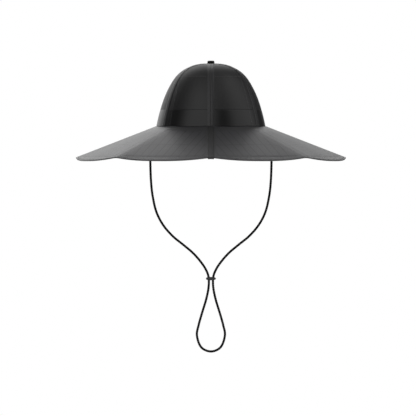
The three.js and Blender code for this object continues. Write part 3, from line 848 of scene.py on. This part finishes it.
for i in range(CROWN_PANELS):
    seam = panel_angle * i
    climb = np.linspace(tape_foot(seam), tape_top_climb, TAPE_STEPS_UP + 1)[:, None]
    half_width = tape_half_width(seam, climb)
    from_seam = across * half_width
    angle = seam + from_seam / crown_girth(seam, climb)
    face = tape_face(climb, half_width - np.abs(from_seam))
    groove = (face - TAPE_LIFT) / 2 * np.exp(-((from_seam / TAPE_GROOVE_WIDTH) ** 2))
    outer = on_crown(angle, climb, face - groove)
    inner = on_crown(angle, climb, TAPE_LIFT)
    weave = np.stack(np.broadcast_arrays(climb * crown_length, from_seam), axis=-1)
    tape = shell(f"crown_seam_tape_{i + 1}", outer, inner, weave, seam_tape_material)
    belongs(tape, "seam_tape", f"crown_tape_{i + 1}")


# The stitching: polyester thread, in rows along the edges and the middle of the crown's tapes,
# along the brim's tape and round its rim. One more row runs over the gores near the crown's top
# and down them beside the four side seams.
STITCH_SPACING = 2.9 * MM
STITCH_LENGTH = 1.9 * MM
THREAD_THICKNESS = 0.6 * MM
THREAD_PROUD = 0.05 * MM
STITCH_IN_FROM_EDGE = 1.1 * MM
SEAM_STITCHES_START = 1.5 * MM
SEAM_STITCHES_END_CLIMB = 0.955
GORE_STITCH_HEIGHT = 82 * MM
GORE_STITCH_FROM_SEAM = 8 * MM
SIDE_ROW_ANGLE = math.radians(49)
HEM_STITCH_INSET = 3.6 * MM
BRIM_TAPE_STITCH_START = 4 * MM
BRIM_TAPE_STITCH_END = 6 * MM


def sewing_thread(name, darkest, lightest):
    """Polyester thread: twisted, with a slight shine along each stitch."""
    material, tree = new_material(name)
    place = add(tree, "ShaderNodeTexCoord")["Object"]
    twist = add(tree, "ShaderNodeTexNoise", {"Vector": place, "Scale": 1 / (0.3 * MM)})[0]
    return end_material(material, twist, darkest, lightest, roughness=0.4)


def stitch_tree():
    """Lays stitches along lines: short rounded lengths of thread with a gap between them."""
    tree, size = growing_tree("stitches", spacing="Float", length="Float", thickness="Float",
                              material="Material")
    lines = add(tree, "GeometryNodeMeshToCurve", {0: size["Geometry"]})[0]
    lines = add(tree, "GeometryNodeResampleCurve", {"Curve": lines, "Length": size["spacing"]},
                mode="LENGTH")[0]
    ball = add(tree, "GeometryNodeMeshUVSphere", {"Segments": 6, "Rings": 5, "Radius": 0.5})["Mesh"]
    form = add(tree, "ShaderNodeCombineXYZ", {0: size["thickness"], 1: size["thickness"],
                                              2: size["length"]})[0]
    stitch = add(tree, "GeometryNodeTransform", {"Geometry": ball, "Scale": form})[0]
    tangent = add(tree, "GeometryNodeInputTangent")[0]
    along = add(tree, "FunctionNodeAlignRotationToVector", {"Vector": tangent}, axis="Z")[0]
    row = add(tree, "GeometryNodeInstanceOnPoints",
              {"Points": lines, "Instance": stitch, "Rotation": along})[0]
    row = add(tree, "GeometryNodeRealizeInstances", {0: row})[0]
    row = add(tree, "GeometryNodeSetMaterial", {0: row, "Material": size["material"]})[0]
    add(tree, "NodeGroupOutput", {0: row})
    return tree


stitches = stitch_tree()


def stitch_rows(name, rows, slot, thread):
    """Stitches along each of the rows, which are lists of points on a surface."""
    edges, first = [], 0
    for row in rows:
        edges += [(first + k, first + k + 1) for k in range(len(row) - 1)]
        first += len(row)
    piece = mesh_object(name, np.vstack(rows), [], None, edges=edges)
    grow(piece, stitches, spacing=STITCH_SPACING, length=STITCH_LENGTH,
         thickness=THREAD_THICKNESS, material=thread)
    belongs(piece, slot)


top_thread = sewing_thread("topstitch thread", "3c3c3e", "4a4a4c")
gore_thread = sewing_thread("gore thread", "636365", "747476")
seam_thread = sewing_thread("seam thread", "030304", "070708")
hem_thread = sewing_thread("hem thread", "59595c", "666669")
gore_stitch_climb = climb_at_height(GORE_STITCH_HEIGHT)
above_foot = SEAM_STITCHES_START / crown_length
edge_rows, middle_rows, gore_rows = [], [], []
for i in range(CROWN_PANELS):
    seam = panel_angle * i
    climb = np.linspace(tape_foot(seam) + above_foot, SEAM_STITCHES_END_CLIMB, 220)
    edge_lift = tape_face(climb, STITCH_IN_FROM_EDGE) + THREAD_PROUD
    middle_lift = (tape_face(climb, TAPE_EDGE_WIDTH) + TAPE_LIFT) / 2 + THREAD_PROUD
    for side in (1, -1):
        offset = side * (tape_half_width(seam, climb) - STITCH_IN_FROM_EDGE)
        edge_rows.append(on_crown(seam + offset / crown_girth(seam, climb), climb, edge_lift))
    middle_rows.append(on_crown(seam, climb, middle_lift))
    clear = GORE_STITCH_FROM_SEAM / crown_girth(seam, gore_stitch_climb)
    angles = np.linspace(seam + clear, seam + panel_angle - clear, 80)
    gore_rows.append(on_crown(angles, gore_stitch_climb, THREAD_PROUD))
for angle in (SIDE_ROW_ANGLE, -SIDE_ROW_ANGLE, math.pi - SIDE_ROW_ANGLE, SIDE_ROW_ANGLE - math.pi):
    climb = np.linspace(tape_foot(angle) + above_foot, gore_stitch_climb, 200)
    gore_rows.append(on_crown(angle, climb, THREAD_PROUD))
stitch_rows("crown_edge_stitches", edge_rows, "seam_tape", top_thread)
stitch_rows("crown_middle_stitches", middle_rows, "seam_tape", seam_thread)
stitch_rows("crown_gore_stitches", gore_rows, "crown_cloth", gore_thread)

round_brim = np.linspace(0, 2 * math.pi, 1500)
hem_row = lifted(brim_surface, RIM_REACH - HEM_STITCH_INSET, round_brim, THREAD_PROUD)
tape_reach = np.linspace(OPENING_REACH + BRIM_TAPE_STITCH_START,
                         RIM_REACH - BRIM_TAPE_STITCH_END, 200)
tape_rows = []
for side in (1, -1):
    angle = side * (BRIM_TAPE_WIDTH / 2 - STITCH_IN_FROM_EDGE) / (tape_reach + FRONT_BACK_EXTRA)
    tape_rows.append(lifted(brim_surface, tape_reach, angle, GAP + TAPE + THREAD_PROUD))
stitch_rows("brim_hem_stitches", [hem_row], "brim_cloth", hem_thread)
stitch_rows("brim_tape_stitches", tape_rows, "brim_tape", seam_thread)


# The crown button: a small drum covered in black satin, riveted through the top where the seam
# tapes end. It is widest below its middle and its top is rounded.
BUTTON_RADIUS = 5.9 * MM
BUTTON_HEIGHT = 4.8 * MM
BUTTON_BASE_Z = 103.05 * MM
BUTTON_SIDES = 64

# The button's outline from below: shares of its radius and of its height.
BUTTON_OUTLINE = [
    (0, 0), (0.94, 0), (0.97, 0.03), (0.99, 0.14), (1, 0.3), (1, 0.46), (0.98, 0.62), (0.94, 0.77),
    (0.86, 0.88), (0.75, 0.96), (0.6, 1), (0, 1),
]


def covering_satin():
    """Black satin stretched over a metal blank: smooth, with a soft shine."""
    material, tree = new_material("covering satin")
    place = add(tree, "ShaderNodeTexCoord")["Object"]
    threads = add(tree, "ShaderNodeTexNoise", {"Vector": place, "Scale": 1 / (0.4 * MM)})[0]
    return end_material(material, threads, "050505", "0a0a0a", roughness=0.4, ior=1.36,
                        relief=(threads, 0.1, 0.05 * MM))


button_profile = [(r * BUTTON_RADIUS, h * BUTTON_HEIGHT) for r, h in BUTTON_OUTLINE]
button = lathe("crown_button_cover", button_profile, BUTTON_SIDES, (0, 0, BUTTON_BASE_Z),
               covering_satin())
belongs(button, "button", "crown_button")


# The cord tabs: a short fold of the brim's tape under each side of the brim. A cord end is sewn
# into each, and they are cut to the slope of the brim above them.
TAB_X = 100.3 * MM
TAB_THICKNESS = 5 * MM
TAB_WIDTH = 10 * MM
TAB_BELOW_BRIM = 0.45 * MM
TAB_BOTTOM = -21.7 * MM
TAB_EDGE_ROUND = 1.0 * MM

tab_material = grosgrain_tape("tab grosgrain", "131314", "1d1d1e", roughness=0.6, ior=1.6)
under_brim = (CLOTH + TAB_BELOW_BRIM) / math.cos(math.atan(BRIM_SLOPE))
for side, name in ((1, "right"), (-1, "left")):
    near, far = TAB_X - TAB_THICKNESS / 2, TAB_X + TAB_THICKNESS / 2
    tops = [float(brim_surface(np.array(x), math.pi / 2)[2]) - under_brim for x in (near, far)]
    corners = [(near, tops[0]), (far, tops[1]), (far, TAB_BOTTOM), (near, TAB_BOTTOM)]
    points = [(side * x, y, z) for y in (-TAB_WIDTH / 2, TAB_WIDTH / 2) for x, z in corners]
    weave = [(z, y) for x, y, z in points]
    faces = tube_faces(2, len(corners))
    if side < 0:
        faces = [face[::-1] for face in faces]
    tab = mesh_object(f"cord_tab_tape_{name}", points, faces, tab_material, weave)
    soften_edges(tab, TAB_EDGE_ROUND, over=30)
    settle(tab, sharp_over=SHARP_ANGLE)
    belongs(tab, "brim_tape", f"cord_tab_{name}")


# The studio: a plain pale floor just below the cord, which the camera looks along and doesn't show.
# The light is soft and far away. It comes from the ceiling and from three large panels: one in
# front on the left, one on the right, and one behind, which stands for a lit white ground.
FLOOR_Z = -376 * MM
FLOOR_SIZE = 8.0

# Each panel's middle and half its width, as degrees round from the camera towards its right, its
# height above the horizon, and how bright it is where white paper is 1.
LIGHT_PANELS = [
    {"middle": -30, "half_width": 42, "lowest": 0, "highest": 58, "bright": 0.95},
    {"middle": 86, "half_width": 33, "lowest": 0, "highest": 64, "bright": 0.86},
    {"middle": -164, "half_width": 28, "lowest": 0, "highest": 42, "bright": 1.55},
]
PANEL_SIDE_FADE = math.radians(13)
PANEL_TOP_FADE = math.radians(11)
ROOM_LIGHT = 0.08
CEILING_LIGHT = 0.33
CEILING_FROM, CEILING_TO = math.radians(26), math.radians(66)


def matt_paint():
    """Matt white paint, rolled on: even, without a mark."""
    material, tree = new_material("matt white paint")
    place = add(tree, "ShaderNodeTexCoord")["Object"]
    roller = add(tree, "ShaderNodeTexNoise", {"Vector": place, "Scale": 40.0})[0]
    return end_material(material, roller, "e6e6e6", "ededed", roughness=0.8)


reach = FLOOR_SIZE / 2
floor_corners = [(reach * x, reach * y, FLOOR_Z) for x, y in ((-1, -1), (1, -1), (1, 1), (-1, 1))]
floor = mesh_object("floor", floor_corners, [[0, 1, 2, 3]], matt_paint())

world = bpy.data.worlds.new("studio")
bpy.context.scene.world = world
world.use_nodes = True
sky = world.node_tree
sky.nodes.clear()
direction = add(sky, "ShaderNodeSeparateXYZ", {0: add(sky, "ShaderNodeTexCoord")["Generated"]})
to_front = add(sky, "ShaderNodeMath", {0: direction[1], 1: -1.0}, operation="MULTIPLY")[0]
turned = add(sky, "ShaderNodeMath", {0: direction[0], 1: to_front}, operation="ARCTAN2")[0]
raised = add(sky, "ShaderNodeMath", {0: direction[2]}, operation="ARCSINE")[0]
glow = add(sky, "ShaderNodeMapRange",
           {0: raised, 1: CEILING_FROM, 2: CEILING_TO, 3: ROOM_LIGHT, 4: ROOM_LIGHT + CEILING_LIGHT},
           interpolation_type="SMOOTHSTEP")[0]
for panel in LIGHT_PANELS:
    middle, half, lowest, highest = [
        math.radians(panel[size]) for size in ("middle", "half_width", "lowest", "highest")]
    aside = add(sky, "ShaderNodeMath", {0: turned, 1: middle}, operation="SUBTRACT")[0]
    aside = add(sky, "ShaderNodeMath", {0: aside, 1: math.pi, 2: -math.pi}, operation="WRAP")[0]
    aside = add(sky, "ShaderNodeMath", {0: aside}, operation="ABSOLUTE")[0]
    light = add(sky, "ShaderNodeMapRange",
                {0: aside, 1: half - PANEL_SIDE_FADE, 2: half + PANEL_SIDE_FADE,
                 3: panel["bright"], 4: 0.0}, interpolation_type="SMOOTHSTEP")[0]
    for end, outside, inside in ((lowest, 0.0, 1.0), (highest, 1.0, 0.0)):
        within = add(sky, "ShaderNodeMapRange",
                     {0: raised, 1: end - PANEL_TOP_FADE, 2: end + PANEL_TOP_FADE,
                      3: outside, 4: inside}, interpolation_type="SMOOTHSTEP")[0]
        light = add(sky, "ShaderNodeMath", {0: light, 1: within}, operation="MULTIPLY")[0]
    glow = add(sky, "ShaderNodeMath", {0: glow, 1: light}, operation="ADD")[0]
studio_light = add(sky, "ShaderNodeBackground", {"Strength": glow})[0]
white_ground = add(sky, "ShaderNodeBackground", {"Color": (1, 1, 1, 1), "Strength": 1.0})[0]
seen = add(sky, "ShaderNodeLightPath")["Is Camera Ray"]
both = add(sky, "ShaderNodeMixShader", {0: seen, 1: studio_light, 2: white_ground})[0]
add(sky, "ShaderNodeOutputWorld", {0: both})
bpy.context.scene.view_settings.view_transform = "Standard"
